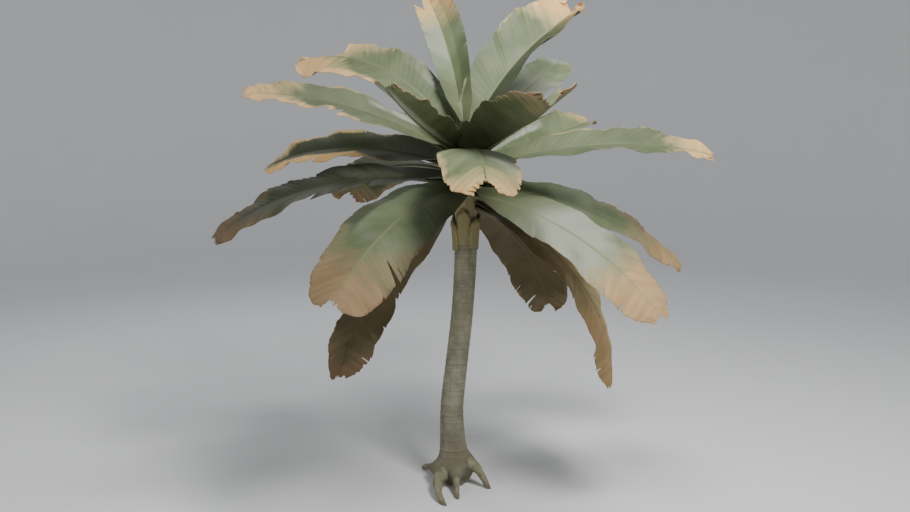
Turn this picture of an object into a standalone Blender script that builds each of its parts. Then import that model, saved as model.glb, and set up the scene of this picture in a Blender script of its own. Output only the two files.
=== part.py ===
"""A palm tree with broad undivided fronds, at its real size.

Metres, +Z up.  The origin is the middle of the trunk's flat cut on level ground.
Every piece is one closed solid: the trunk, the prop roots round its foot, the old
leaf bases that clasp it under the crown, and the fronds.
"""
import math
import random
from collections import namedtuple

import bmesh
import bpy
from mathutils import Vector

CLEARANCE = 0.0003

# ---------------------------------------------------------------- trunk
TRUNK_SIDES = 16
TRUNK_TIP = 2.82
SCAR_SPACING = 0.115
SCAR_RISE = 0.0035
# Height, then how far the trunk's middle leans to +X there.
TRUNK_LEAN = (
    (0.0, 0.0), (0.25, -0.012), (0.6, -0.024), (0.95, 0.01), (1.4, 0.057), (1.9, 0.082), (2.9, 0.072),
)
# Height, then the radius there: the flare, the clear stem, and the growing tip in the crown.
TRUNK_RADIUS = (
    (0.0, 0.085), (0.035, 0.118), (0.09, 0.143), (0.14, 0.143), (0.19, 0.124), (0.25, 0.109),
    (0.36, 0.098), (0.55, 0.09), (0.9, 0.086), (1.4, 0.083), (1.9, 0.083), (2.2, 0.08),
    (2.45, 0.07), (2.65, 0.056), (TRUNK_TIP, 0.036),
)
FLARE_TOP = 0.3
FLARE_LOBES = 5
FLARE_LOBE_DEPTH = 0.07
FLARE_PHASE = 1.2

# ---------------------------------------------------------------- prop roots
# spring_turn and tip_turn: compass directions of its two ends; rise: height of its shoulder;
# bow: how far it swells towards its spring side on the way, as a share of its reach.
Root = namedtuple("Root", "name spring_turn tip_turn reach rise thickness bow")
ROOTS = (
    Root("root_front_left", 205, 259, 0.45, 0.11, 0.028, 0.55),
    Root("root_front", 272, 273, 0.33, 0.09, 0.019, 0.2),
    Root("root_right", 350, 334, 0.285, 0.17, 0.028, 0.1),
    Root("root_back_right", 55, 64, 0.26, 0.13, 0.026, 0.3),
    Root("root_back", 98, 100, 0.30, 0.11, 0.024, 0.3),
    Root("root_left", 168, 130, 0.40, 0.08, 0.02, 0.3),
)
ROOT_SIDES_RESOLUTION = 2
ROOT_POINTS = 7
ROOT_START = 0.07
# How far past the ground each path runs, how much its shoulder lifts and how late it dives.
ROOT_OVERRUN = 1.08
ROOT_LIFT = 0.45
ROOT_DIVE = 1.8
# The root's girth at its two ends, as shares of its thickness.
ROOT_STOUT_FOOT = 1.35
ROOT_SLIM_TIP = 0.75

# ---------------------------------------------------------------- old leaf bases
BASE_COUNT = 6
BASE_FOOT = 1.85
BASE_HEIGHT = 0.28
BASE_THICKNESS = 0.016
BASE_SUNK = 0.02
BASE_SPREAD = 0.014
BASE_GAP_DEG = 3.0
BASE_TURN_DEG = 17.0
# Every second one is shorter, and their feet stand in three steps up the trunk.
BASE_STAGGER = 0.022
BASE_SHORTER = 0.05
# How much its ends are rounded, how much it narrows upwards, and its girth at foot and top.
BASE_TOP_ROUNDING = 0.25
BASE_FOOT_ROUNDING = 0.012
BASE_NARROWING = 0.28
BASE_THIN_FOOT = 0.75
BASE_THICKENING = 0.5

# ---------------------------------------------------------------- fronds
STATIONS = 13
COLUMNS = 4
TEARS = 2
TEAR_HALF_WIDTH = 0.012
THICKNESS_OF_LENGTH = 0.017
BLADE_THICKNESS_SHARE = 0.65
PETIOLE_SHARE = 0.17
BEND_POWER = 1.3
SUNK = 0.022
VEIN_ANGLE = 38
# turn: compass direction from +X towards +Y; rise and fall: slope at the foot and at the tip;
# width: the blade's full width; roll: how far it turns about its rib; fold: how far its halves
# lift from flat at the foot, and at the tip; notch: share of the veins' slant kept at the tip.
Frond = namedtuple("Frond", "name turn height rise fall length width roll fold_foot fold_tip notch")
FRONDS = (
    Frond("frond_young_1", 105, 2.76, 57, 23, 1.58, 0.37, -18, 36, 25, 1.0),
    Frond("frond_young_2", 38, 2.71, 55, 23, 1.40, 0.60, 17, 33, 32, 0.6),
    Frond("frond_young_3", 149, 2.65, 51, -15, 1.74, 0.50, -30, 28, -25, 0.5),
    Frond("frond_young_4", 55, 2.62, 28, 24, 1.54, 0.42, 16, 20, 4, 0.4),
    Frond("frond_middle_1", 187, 2.55, 32, -4, 1.66, 0.44, -24, 10, 5, 0.3),
    Frond("frond_middle_2", -71, 2.49, 19, 11, 1.55, 0.62, 7, 38, 31, 0.8),
    Frond("frond_middle_3", -112, 2.565, 14, 28, 1.40, 0.42, -17, 46, 18, 0.5),
    Frond("frond_middle_4", 46, 2.43, 16, 11, 1.50, 0.42, 17, 19, 26, 0.6),
    Frond("frond_middle_5", 84, 2.55, 25, -22, 1.75, 0.46, 0, 25, 0, 0.6),
    Frond("frond_middle_6", -1, 2.47, 16, -13, 1.80, 0.46, 18, 16, 8, 0.3),
    Frond("frond_middle_7", 162, 2.48, 15, -22, 1.66, 0.40, -30, 20, 2, 0.3),
    Frond("frond_lower_1", -86, 2.44, 25, -26, 1.56, 0.54, -3, -5, -24, 1.0),
    Frond("frond_lower_2", 126, 2.42, 8, -30, 1.75, 0.57, 14, 10, -15, 0.6),
    Frond("frond_lower_3", 185, 2.37, 7, -38, 1.91, 0.45, -20, 18, -6, 0.3),
    Frond("frond_lower_4", 14, 2.34, -6, -41, 1.89, 0.42, 28, 15, -9, 0.3),
    Frond("frond_lower_5", -38, 2.29, -8, -47, 1.77, 0.52, 16, 11, -14, 0.3),
    Frond("frond_lower_6", -120, 2.32, -2, -43, 1.75, 0.60, -16, 13, -24, 0.7),
    Frond("frond_hanging_1", -11, 2.20, -21, -92, 1.83, 0.38, 17, 7, -22, 0.3),
    Frond("frond_hanging_2", 58, 2.21, -20, -59, 1.73, 0.50, -16, 11, -20, 0.8),
    Frond("frond_hanging_3", 146, 2.26, -39, -70, 2.05, 0.50, 20, 14, -24, 0.3),
)
# Share of the length, then the blade's width there as a share of its greatest width.
BLADE_OUTLINE = (
    (0.0, 0.17), (0.05, 0.15), (0.1, 0.2), (0.18, 0.48), (0.28, 0.76), (0.42, 0.95),
    (0.58, 1.0), (0.75, 0.94), (0.88, 0.76), (0.96, 0.52), (1.0, 0.34),
)


def clear_scene():
    for obj in list(bpy.data.objects):
        bpy.data.objects.remove(obj)


def new_collection(name):
    collection = bpy.data.collections.new(name)
    bpy.context.scene.collection.children.link(collection)
    return collection


def material(name, colour, roughness):
    """A plain Principled finish, so that each kind of piece shows its own colour."""
    made = bpy.data.materials.new(name)
    made.use_nodes = True
    shader = made.node_tree.nodes["Principled BSDF"]
    shader.inputs["Base Color"].default_value = (*colour, 1.0)
    shader.inputs["Roughness"].default_value = roughness
    shader.inputs["Metallic"].default_value = 0.0
    return made


def smooth_table(table, at):
    """Reads a smooth curve through (place, value) pairs, flat past both ends."""
    if at <= table[0][0]:
        return table[0][1]
    for index in range(len(table) - 1):
        (x0, y0), (x1, y1) = table[index], table[index + 1]
        if at > x1:
            continue
        before = table[max(index - 1, 0)]
        after = table[min(index + 2, len(table) - 1)]
        slope0 = (y1 - before[1]) / (x1 - before[0])
        slope1 = (after[1] - y0) / (after[0] - x0)
        step = x1 - x0
        t = (at - x0) / step
        return (
            y0 * (1 + 2 * t) * (1 - t) ** 2
            + slope0 * step * t * (1 - t) ** 2
            + y1 * t * t * (3 - 2 * t)
            + slope1 * step * t * t * (t - 1)
        )
    return table[-1][1]


def lean(height):
    return smooth_table(TRUNK_LEAN, height)


def trunk_radius(height):
    return smooth_table(TRUNK_RADIUS, height)


def compass(degrees):
    angle = math.radians(degrees)
    return Vector((math.cos(angle), math.sin(angle), 0.0))


def new_object(name, mesh, collection, finish=None):
    obj = bpy.data.objects.new(name, mesh)
    collection.objects.link(obj)
    if finish:
        mesh.materials.clear()
        mesh.materials.append(finish)
    return obj


def evaluated_mesh(obj):
    """The object's mesh with its modifiers worked in, and its seams and caps welded."""
    depsgraph = bpy.context.evaluated_depsgraph_get()
    mesh = bpy.data.meshes.new_from_object(obj.evaluated_get(depsgraph), depsgraph=depsgraph)
    bm = bmesh.new()
    bm.from_mesh(mesh)
    bmesh.ops.remove_doubles(bm, verts=bm.verts, dist=0.00005)
    bmesh.ops.recalc_face_normals(bm, faces=bm.faces)
    bm.to_mesh(mesh)
    bm.free()
    return mesh


def shade_round(mesh, angle_deg):
    mesh.shade_smooth()
    mesh.set_sharp_from_angle(angle=math.radians(angle_deg))


def cut_from(obj, cutter):
    """Takes the cutter's shape out of the object."""
    modifier = obj.modifiers.new("cut", "BOOLEAN")
    modifier.operation = "DIFFERENCE"
    modifier.solver = "EXACT"
    modifier.object = cutter


def make_guide(obj):
    obj.hide_render = True
    obj.display_type = "WIRE"


# ---------------------------------------------------------------- trunk
def trunk_heights():
    """The rings of the trunk: close together on the flare, then two to each leaf scar."""
    heights = [z for z, _ in TRUNK_RADIUS if z < FLARE_TOP]
    scar = FLARE_TOP
    while scar < BASE_FOOT:
        heights += [scar, scar + 0.22 * SCAR_SPACING]
        scar += SCAR_SPACING
    heights += [z for z, _ in TRUNK_RADIUS if z > BASE_FOOT]
    return sorted(heights)


def scar_at(height):
    """How far the trunk stands out at a leaf scar's lower edge."""
    if not FLARE_TOP <= height < BASE_FOOT:
        return 0.0
    along = ((height - FLARE_TOP) / SCAR_SPACING) % 1.0
    return SCAR_RISE if along < 0.1 or along > 0.95 else 0.0


def trunk_mesh(extra):
    """A turned profile, then lobed at the flare and leaned; extra swells it evenly."""
    profile = bmesh.new()
    heights = trunk_heights()
    top = heights[-1]
    outline = [(0.0, top + extra), (trunk_radius(top) + extra, top + extra)]
    outline += [(trunk_radius(z) + scar_at(z) + extra, z) for z in reversed(heights)]
    outline += [(0.0, heights[0])]
    verts = [profile.verts.new((r, 0.0, z)) for r, z in outline]
    for first, second in zip(verts, verts[1:]):
        profile.edges.new((first, second))
    mesh = bpy.data.meshes.new("trunk_profile")
    profile.to_mesh(mesh)
    profile.free()
    turned = bpy.data.objects.new("trunk_profile", mesh)
    bpy.context.scene.collection.objects.link(turned)
    screw = turned.modifiers.new("turn", "SCREW")
    screw.steps = screw.render_steps = TRUNK_SIDES
    screw.use_merge_vertices = True
    screw.merge_threshold = 0.0001
    solid = evaluated_mesh(turned)
    bpy.data.objects.remove(turned)
    for vertex in solid.vertices:
        point = vertex.co
        share = max(0.0, 1.0 - point.z / FLARE_TOP)
        angle = math.atan2(point.y, point.x)
        lobe = 1.0 + FLARE_LOBE_DEPTH * math.sqrt(share) * math.cos(FLARE_LOBES * angle - FLARE_PHASE)
        vertex.co = (point.x * lobe + lean(point.z), point.y * lobe, point.z)
    bm = bmesh.new()
    bm.from_mesh(solid)
    bmesh.ops.triangulate(bm, faces=bm.faces, quad_method="FIXED")
    bm.to_mesh(solid)
    bm.free()
    return solid


def build_trunk(collection, cutters, finish):
    trunk = new_object("trunk", trunk_mesh(0.0), collection, finish)
    shade_round(trunk.data, 40)
    swollen = new_object("trunk_clearance", trunk_mesh(CLEARANCE), cutters)
    make_guide(swollen)
    return trunk, swollen


# ---------------------------------------------------------------- prop roots
def root_path(root):
    """Out of the flare, over a low shoulder, and down past the ground at the root's reach."""
    foot = compass(root.spring_turn) * ROOT_START
    tip = compass(root.tip_turn) * root.reach
    along = []
    for step in range(ROOT_POINTS):
        t = ROOT_OVERRUN * step / (ROOT_POINTS - 1)
        shoulder = compass(root.spring_turn) * (root.bow * root.reach * t * (1.0 - t))
        height = root.rise * (1.0 + ROOT_LIFT * t - (1.0 + ROOT_LIFT) * t ** ROOT_DIVE)
        along.append(foot.lerp(tip, t) + shoulder + Vector((0.0, 0.0, height)))
    return along


def build_root(root, trunk_cutter, ground, collection, finish):
    curve = bpy.data.curves.new(root.name, "CURVE")
    curve.dimensions = "3D"
    curve.bevel_depth = root.thickness
    curve.bevel_resolution = ROOT_SIDES_RESOLUTION
    curve.use_fill_caps = True
    spline = curve.splines.new("POLY")
    points = root_path(root)
    spline.points.add(len(points) - 1)
    for index, (point, place) in enumerate(zip(spline.points, points)):
        point.co = (*place, 1.0)
        point.radius = ROOT_STOUT_FOOT - (ROOT_STOUT_FOOT - ROOT_SLIM_TIP) * index / (len(points) - 1)
    guide = bpy.data.objects.new(root.name + "_path", curve)
    bpy.context.scene.collection.objects.link(guide)
    solid = evaluated_mesh(guide)
    bpy.data.objects.remove(guide)
    obj = new_object(root.name, solid, collection, finish)
    cut_from(obj, trunk_cutter)
    cut_from(obj, ground)
    shade_round(solid, 40)
    return obj


# ---------------------------------------------------------------- old leaf bases
def build_leaf_base(number, trunk_cutter, collection, finish):
    """A curved plate that hugs the trunk, thicker and leaning out at its cut top."""
    span = 360.0 / BASE_COUNT - BASE_GAP_DEG
    middle = 360.0 * number / BASE_COUNT + BASE_TURN_DEG
    foot = BASE_FOOT + BASE_STAGGER * ((number * 2) % 3)
    top = foot + BASE_HEIGHT - BASE_SHORTER * (number % 2)
    bm = bmesh.new()
    bmesh.ops.create_cube(bm, size=2.0)
    across_edges = [e for e in bm.edges if abs(e.verts[0].co.x - e.verts[1].co.x) > 1.0]
    bmesh.ops.subdivide_edges(bm, edges=across_edges, cuts=4)
    upright_edges = [e for e in bm.edges if abs(e.verts[0].co.z - e.verts[1].co.z) > 1.0]
    bmesh.ops.subdivide_edges(bm, edges=upright_edges, cuts=3)
    for vertex in bm.verts:
        across = vertex.co.x
        depth = (vertex.co.y + 1.0) / 2.0
        up = (vertex.co.z + 1.0) / 2.0
        rounded = 1.0 - BASE_TOP_ROUNDING * up * across * across
        height = foot + (top - foot) * up * rounded + BASE_FOOT_ROUNDING * across * across * (1.0 - up)
        narrowing = 1.0 - BASE_NARROWING * up ** 2
        angle = middle + across * span / 2.0 * narrowing
        inner = trunk_radius(height) - BASE_SUNK
        outer = trunk_radius(height) + BASE_THICKNESS * (BASE_THIN_FOOT + BASE_THICKENING * up)
        radius = inner + (outer - inner) * depth + BASE_SPREAD * up ** 2 * depth
        vertex.co = compass(angle) * radius + Vector((lean(height), 0.0, height))
    bmesh.ops.triangulate(bm, faces=bm.faces)
    bmesh.ops.recalc_face_normals(bm, faces=bm.faces)
    mesh = bpy.data.meshes.new(f"leaf_base_{number + 1}")
    bm.to_mesh(mesh)
    bm.free()
    obj = new_object(f"leaf_base_{number + 1}", mesh, collection, finish)
    cut_from(obj, trunk_cutter)
    return obj


# ---------------------------------------------------------------- fronds
def rib_points(frond, count=60):
    """Places along the rib with its slope there, worked out by stepping along its bend."""
    out = compass(frond.turn)
    foot = Vector((lean(frond.height), 0.0, frond.height))
    foot += out * max(trunk_radius(frond.height) - SUNK, 0.0)
    places, step = [foot], frond.length / count
    bend = frond.fall - frond.rise
    slopes = [math.radians(frond.rise + bend * (i / count) ** BEND_POWER) for i in range(count + 1)]
    for index in range(count):
        slope = (slopes[index] + slopes[index + 1]) / 2.0
        ahead = out * math.cos(slope) + Vector((0.0, 0.0, math.sin(slope)))
        places.append(places[-1] + ahead * step)
    return places, slopes


def rib_frame(frond, rib, share):
    """The rib's place, its direction, the way to its left and the way up off the blade."""
    places, slopes = rib
    at = share * (len(places) - 1)
    index = min(int(at), len(places) - 2)
    part = at - index
    place = places[index].lerp(places[index + 1], part)
    slope = slopes[index] * (1.0 - part) + slopes[index + 1] * part
    out = compass(frond.turn)
    ahead = out * math.cos(slope) + Vector((0, 0, math.sin(slope)))
    side = Vector((-out.y, out.x, 0.0))
    up = ahead.cross(side)
    roll = math.radians(frond.roll) * min(1.0, share / 0.3)
    rolled_side = side * math.cos(roll) + up * math.sin(roll)
    rolled_up = up * math.cos(roll) - side * math.sin(roll)
    return place, ahead, rolled_side, rolled_up


def tears_of(frond, number):
    """Seeded places where wind has split the blade: share of the length, side and depth."""
    chance = random.Random(100 + number)
    places = []
    for index in range(TEARS):
        share = 0.4 + 0.5 * (index + chance.uniform(0.15, 0.85)) / TEARS
        places.append((share, chance.choice((-1, 1)), chance.uniform(0.25, 0.6)))
    return places


def blade_point(frond, rib, share, across, tears):
    """A point of the blade: share of the length, and -1 to 1 from edge to edge."""
    place, ahead, side, up = rib_frame(frond, rib, share)
    reach = frond.width / 2.0 * smooth_table(BLADE_OUTLINE, share)
    for at, edge, depth in tears:
        if edge * across > 0 and abs(share - at) < TEAR_HALF_WIDTH / 2:
            reach *= 1.0 - depth
    fold = math.radians(frond.fold_foot + (frond.fold_tip - frond.fold_foot) * share)
    open_up = min(1.0, max(0.0, (share - 0.1) / 0.25))
    slant = math.radians(VEIN_ANGLE) * open_up
    slant *= 1.0 + (frond.notch - 1.0) * max(0.0, (share - 0.7) / 0.3)
    length = abs(across) * reach / max(math.cos(slant), 0.1)
    outward = (side * math.copysign(math.cos(fold), across) + up * math.sin(fold)) * math.cos(slant)
    return place + outward * length + ahead * (math.sin(slant) * length)


def build_frond(number, frond, trunk_cutter, collection, finish):
    tears = tears_of(frond, number)
    stations = [index / (STATIONS - 1) for index in range(STATIONS)]
    for share, _, _ in tears:
        stations = [s for s in stations if abs(s - share) > 1.2 * TEAR_HALF_WIDTH]
        stations += [share - TEAR_HALF_WIDTH, share, share + TEAR_HALF_WIDTH]
    stations.sort()
    rib = rib_points(frond)
    bm = bmesh.new()
    bmesh.ops.create_grid(bm, x_segments=len(stations) - 1, y_segments=COLUMNS, size=1.0)
    thickness = bm.verts.layers.deform.verify()
    for vertex in bm.verts:
        share = stations[round((vertex.co.x + 1.0) / 2.0 * (len(stations) - 1))]
        across = vertex.co.y
        vertex.co = blade_point(frond, rib, share, across, tears)
        ribness = max(0.0, 1.0 - 2.5 * abs(across)) * (1.0 - 0.7 * share)
        petiole = max(0.0, 1.0 - share / PETIOLE_SHARE)
        stoutness = min(1.0, max(ribness, petiole))
        vertex[thickness][0] = BLADE_THICKNESS_SHARE + (1.0 - BLADE_THICKNESS_SHARE) * stoutness
    mesh = bpy.data.meshes.new(frond.name)
    bm.to_mesh(mesh)
    bm.free()
    obj = new_object(frond.name, mesh, collection, finish)
    obj.vertex_groups.new(name="thickness")
    shell = obj.modifiers.new("thickness", "SOLIDIFY")
    shell.thickness = frond.length * THICKNESS_OF_LENGTH
    shell.offset = 0.0
    shell.vertex_group = "thickness"
    cut_from(obj, trunk_cutter)
    return obj


def build_ground_cutter(cutters):
    bm = bmesh.new()
    bmesh.ops.create_cube(bm, size=2.0)
    bmesh.ops.translate(bm, verts=bm.verts, vec=(0.0, 0.0, -1.0))
    mesh = bpy.data.meshes.new("ground_cutter")
    bm.to_mesh(mesh)
    bm.free()
    ground = new_object("ground_cutter", mesh, cutters)
    make_guide(ground)
    return ground


def main():
    clear_scene()
    tree = new_collection("broad_leaved_palm")
    cutters = new_collection("cutters")
    bark = material("bark", (0.17, 0.16, 0.11), 0.9)
    root_bark = material("root_bark", (0.18, 0.17, 0.11), 0.9)
    husk = material("old_leaf_base", (0.16, 0.12, 0.05), 0.95)
    green = material("green_blade", (0.28, 0.33, 0.2), 0.6)
    dry = material("dry_blade", (0.2, 0.14, 0.08), 0.8)
    trunk, swollen_trunk = build_trunk(tree, cutters, bark)
    ground = build_ground_cutter(cutters)
    for root in ROOTS:
        build_root(root, swollen_trunk, ground, tree, root_bark)
    for number in range(BASE_COUNT):
        build_leaf_base(number, swollen_trunk, tree, husk)
    for number, frond in enumerate(FRONDS):
        finish = dry if "hanging" in frond.name else green
        build_frond(number, frond, swollen_trunk, tree, finish)


main()
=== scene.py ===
"""A slender palm with broad undivided fronds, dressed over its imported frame."""

import math
import random
from collections import namedtuple

import bpy
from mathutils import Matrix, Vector, noise


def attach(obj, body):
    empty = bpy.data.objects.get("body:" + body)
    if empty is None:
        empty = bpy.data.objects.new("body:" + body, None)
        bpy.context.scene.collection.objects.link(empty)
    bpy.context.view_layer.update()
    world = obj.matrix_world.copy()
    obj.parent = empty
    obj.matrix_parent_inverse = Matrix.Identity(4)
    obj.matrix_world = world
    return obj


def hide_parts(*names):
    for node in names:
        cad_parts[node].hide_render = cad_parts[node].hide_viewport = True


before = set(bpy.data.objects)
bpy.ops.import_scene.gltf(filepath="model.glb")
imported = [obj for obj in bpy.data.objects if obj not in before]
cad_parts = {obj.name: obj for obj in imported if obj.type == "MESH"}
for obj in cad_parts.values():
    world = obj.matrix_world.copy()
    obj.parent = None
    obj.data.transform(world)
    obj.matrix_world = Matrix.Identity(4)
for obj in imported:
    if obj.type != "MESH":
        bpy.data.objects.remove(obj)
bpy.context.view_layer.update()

# ---------------------------------------------------------------- the studio
# A floor of pale paper that sweeps up into a wall all round, far outside the tree.  Two lamps
# hang high to the right of the crown, and two broad weak ones fill in.
FLOOR_PROFILE = ((0.0, 0.0), (11.0, 0.0), (13.5, 0.35), (15.2, 1.6), (16.0, 4.0), (16.2, 9.0))
FLOOR_ROWS = 60
FLOOR_SIDES = 96
SEAM_GAP = 0.00005
PAPER_SHADE = (0.83, 0.835, 0.84)
PAPER_LIGHT = (0.87, 0.875, 0.88)
AIR_COLOUR = (0.93, 0.96, 1.0, 1.0)
AIR_STRENGTH = 0.27
CAMERA_BACK = 7.5
CAMERA_HEIGHT = 3.0
CAMERA_DOWN_DEG = 9.07
LENS_MM = 39.56
SENSOR_MM = 36.0
SIGHT_END = 100.0


def smooth_table(table, at):
    """Reads a smooth curve through (place, value) pairs, flat past both ends."""
    if at <= table[0][0]:
        return table[0][1]
    for index in range(len(table) - 1):
        (x0, y0), (x1, y1) = table[index], table[index + 1]
        if at > x1:
            continue
        before = table[max(index - 1, 0)]
        after = table[min(index + 2, len(table) - 1)]
        slope0 = (y1 - before[1]) / (x1 - before[0])
        slope1 = (after[1] - y0) / (after[0] - x0)
        step = x1 - x0
        t = (at - x0) / step
        return (
            y0 * (1 + 2 * t) * (1 - t) ** 2
            + slope0 * step * t * (1 - t) ** 2
            + y1 * t * t * (3 - 2 * t)
            + slope1 * step * t * t * (t - 1)
        )
    return table[-1][1]


def rolled_sheet(name, along, around, place):
    """A grid rolled into a tube: place(share, angle) gives each point and its tone."""
    bpy.ops.object.select_all(action="DESELECT")
    bpy.ops.mesh.primitive_grid_add(x_subdivisions=along, y_subdivisions=around, size=2.0)
    sheet = bpy.context.object
    sheet.name = sheet.data.name = name
    tones = sheet.data.attributes.new("tone", "FLOAT", "POINT").data
    for vertex in sheet.data.vertices:
        share = (vertex.co.x + 1.0) / 2.0
        angle = math.pi * (vertex.co.y + 1.0)
        vertex.co, tones[vertex.index].value = place(share, angle)
    bpy.ops.object.mode_set(mode="EDIT")
    bpy.ops.mesh.select_all(action="SELECT")
    bpy.ops.mesh.remove_doubles(threshold=SEAM_GAP)
    bpy.ops.mesh.normals_make_consistent(inside=False)
    bpy.ops.object.mode_set(mode="OBJECT")
    bpy.ops.object.shade_smooth()
    return sheet


class Amount:
    """A number that varies over a surface: sums written on it become Math nodes."""

    def __init__(self, finish, socket):
        self.finish = finish
        self.socket = socket

    def math(self, operation, *values):
        return self.finish.node("ShaderNodeMath", {"operation": operation}, dict(enumerate(values)))

    def __add__(self, other):
        return self.math("ADD", self, other)

    def __sub__(self, other):
        return self.math("SUBTRACT", self, other)

    def __rsub__(self, other):
        return self.math("SUBTRACT", other, self)

    def __mul__(self, other):
        return self.math("MULTIPLY", self, other)

    def __abs__(self):
        return self.math("ABSOLUTE", self)

    __radd__ = __add__
    __rmul__ = __mul__

    def most(self, other):
        return self.math("MAXIMUM", self, other)

    def ease(self, low, high):
        """0 below low, 1 above high, and a soft step between."""
        settings = {"interpolation_type": "SMOOTHSTEP"}
        return self.finish.node("ShaderNodeMapRange", settings, {0: self, 1: low, 2: high})


class Finish:
    """One material being mixed, and the one way to add a node to it."""

    def __init__(self, name, roughness):
        self.material = bpy.data.materials.new(name)
        self.material.use_nodes = True
        self.tree = self.material.node_tree
        self.shader = self.tree.nodes["Principled BSDF"]
        self.shader.inputs["Roughness"].default_value = roughness
        self.shader.inputs["Metallic"].default_value = 0.0

    def node(self, kind, settings, inputs, output=0):
        """Adds a node, sets it up, and gives the amount at one of its outputs."""
        node = self.tree.nodes.new(kind)
        for key, value in settings.items():
            setattr(node, key, value)
        for key, value in inputs.items():
            self.plug(node, key, value)
        if isinstance(output, str):
            return Amount(self, next(s for s in node.outputs if s.identifier == output))
        return Amount(self, node.outputs[output])

    def plug(self, node, key, value):
        """Links a varying amount to a socket, or sets a plain value there."""
        if isinstance(key, int):
            socket = node.inputs[key]
        else:
            socket = next(s for s in node.inputs if key in (s.identifier, s.name))
        if isinstance(value, Amount):
            self.tree.links.new(value.socket, socket)
        elif isinstance(value, tuple) and socket.type == "RGBA":
            socket.default_value = (*value, 1.0)
        else:
            socket.default_value = value

    def mixed(self, amount, first, second):
        """A colour between two others."""
        inputs = {"Factor_Float": amount, "A_Color": first, "B_Color": second}
        return self.node("ShaderNodeMix", {"data_type": "RGBA"}, inputs, "Result_Color")

    def dimmed(self, amount, colour, darkest):
        """A colour, darkened towards its own darker tone where amount is 1."""
        settings = {"data_type": "RGBA", "blend_type": "MULTIPLY"}
        inputs = {"Factor_Float": amount, "A_Color": colour, "B_Color": (darkest, darkest, darkest)}
        return self.node("ShaderNodeMix", settings, inputs, "Result_Color")

    def places(self):
        return self.node("ShaderNodeTexCoord", {}, {}, "Object")

    def axis(self, vector, number):
        """One of the three parts of a place."""
        return self.node("ShaderNodeSeparateXYZ", {}, {0: vector}, number)

    def stretched(self, vector, scale):
        return self.node("ShaderNodeMapping", {}, {"Vector": vector, "Scale": scale})

    def grain(self, vector, scale, detail=3.0):
        """Soft noise, finer the larger its scale."""
        inputs = {"Vector": vector, "Scale": scale, "Detail": detail}
        return self.node("ShaderNodeTexNoise", {}, inputs)

    def own_tone(self):
        """The tone that rolled_sheet left on each point of the mesh."""
        return self.node("ShaderNodeAttribute", {"attribute_name": "tone"}, {}, "Fac")

    def finished(self, colour, height, depth, roughness=None):
        """Joins the colour and a raised pattern, depth metres high, to the shader."""
        inputs = {"Height": height, "Strength": 1.0, "Distance": depth}
        bump = self.node("ShaderNodeBump", {}, inputs)
        self.plug(self.shader, "Base Color", colour)
        self.plug(self.shader, "Normal", bump)
        if roughness:
            self.plug(self.shader, "Roughness", roughness)
        return self.material


def floor_place(share, angle):
    along = share * FLOOR_PROFILE[-1][0]
    height = smooth_table(FLOOR_PROFILE, along)
    return Vector((math.cos(angle) * along, math.sin(angle) * along, height)), 0.0


studio = rolled_sheet("studio_floor", FLOOR_ROWS, FLOOR_SIDES, floor_place)
studio.data.flip_normals()
paper = Finish("pale_studio_paper", 0.9)
paper_mottle = paper.grain(paper.places(), 0.6)
paper_colour = paper.mixed(paper_mottle, PAPER_SHADE, PAPER_LIGHT)
studio.data.materials.append(paper.finished(paper_colour, paper_mottle, 0.0005))

world = bpy.data.worlds.new("studio_air")
bpy.context.scene.world = world
world.use_nodes = True
air = world.node_tree.nodes["Background"]
air.inputs["Color"].default_value = AIR_COLOUR
air.inputs["Strength"].default_value = AIR_STRENGTH


def soft_lamp(name, place, aim, width, watts):
    """A square lamp that shines from its place towards another."""
    bpy.ops.object.light_add(type="AREA", location=place)
    lamp = bpy.context.object
    lamp.name = name
    lamp.data.size = width
    lamp.data.energy = watts
    lamp.rotation_euler = (Vector(aim) - Vector(place)).to_track_quat("-Z", "Y").to_euler()


soft_lamp("top_lamp", (1.8, -0.6, 8.4), (0.0, 0.0, 2.4), 2.0, 220)
soft_lamp("key_lamp", (2.6, -4.4, 7.4), (0.0, 0.0, 2.0), 2.0, 470)
soft_lamp("fill_lamp", (-5.4, -5.0, 3.4), (0.0, 0.0, 1.8), 4.0, 75)
soft_lamp("back_lamp", (-3.0, 6.0, 5.5), (0.0, 0.0, 2.0), 4.0, 75)

bpy.ops.object.camera_add(location=(0.0, -CAMERA_BACK, CAMERA_HEIGHT))
camera = bpy.context.object
camera.rotation_euler = (math.radians(90.0 - CAMERA_DOWN_DEG), 0.0, 0.0)
camera.data.lens = LENS_MM
camera.data.sensor_width = SENSOR_MM
camera.data.clip_end = SIGHT_END
bpy.context.scene.camera = camera

# ---------------------------------------------------------------- trunk
# One slender unbranched stem of fibrous palm wood with a thin grey-green bark.  Each fallen
# frond has left a ring scar, and the foot swells into lobes where the prop roots spring.
TRUNK_TIP = 2.82
# The stem's lean to one side, and its radius, by height.
TRUNK_LEAN = (
    (0.0, 0.0), (0.25, -0.012), (0.6, -0.024), (0.95, 0.01),
    (1.4, 0.057), (1.9, 0.082), (2.9, 0.072),
)
TRUNK_RADIUS = (
    (0.0, 0.085), (0.035, 0.118), (0.09, 0.143), (0.14, 0.143), (0.19, 0.124), (0.25, 0.109),
    (0.36, 0.098), (0.55, 0.09), (0.9, 0.086), (1.4, 0.083), (1.9, 0.083), (2.2, 0.08),
    (2.45, 0.07), (2.65, 0.056), (TRUNK_TIP, 0.036),
)
FLARE_TOP = 0.3
FLARE_LOBES = 5
FLARE_LOBE_DEPTH = 0.07
FLARE_LOBE_PHASE = 1.2
FOOT_TOP = 0.36
SHOULDER_RISE = 0.05
SHOULDER_SPREAD = 0.42
SHOULDER_HEIGHT = 0.065
ARCH_DEPTH = 0.07
ARCH_TOP = 0.16
ARCH_CLEAR = 0.4
KNOB_COUNT = 26
FLARE_RADIUS = 0.13
RING_RISE = 0.002
RING_WIDTH = 0.009
RING_WAVE = 0.0014
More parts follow.
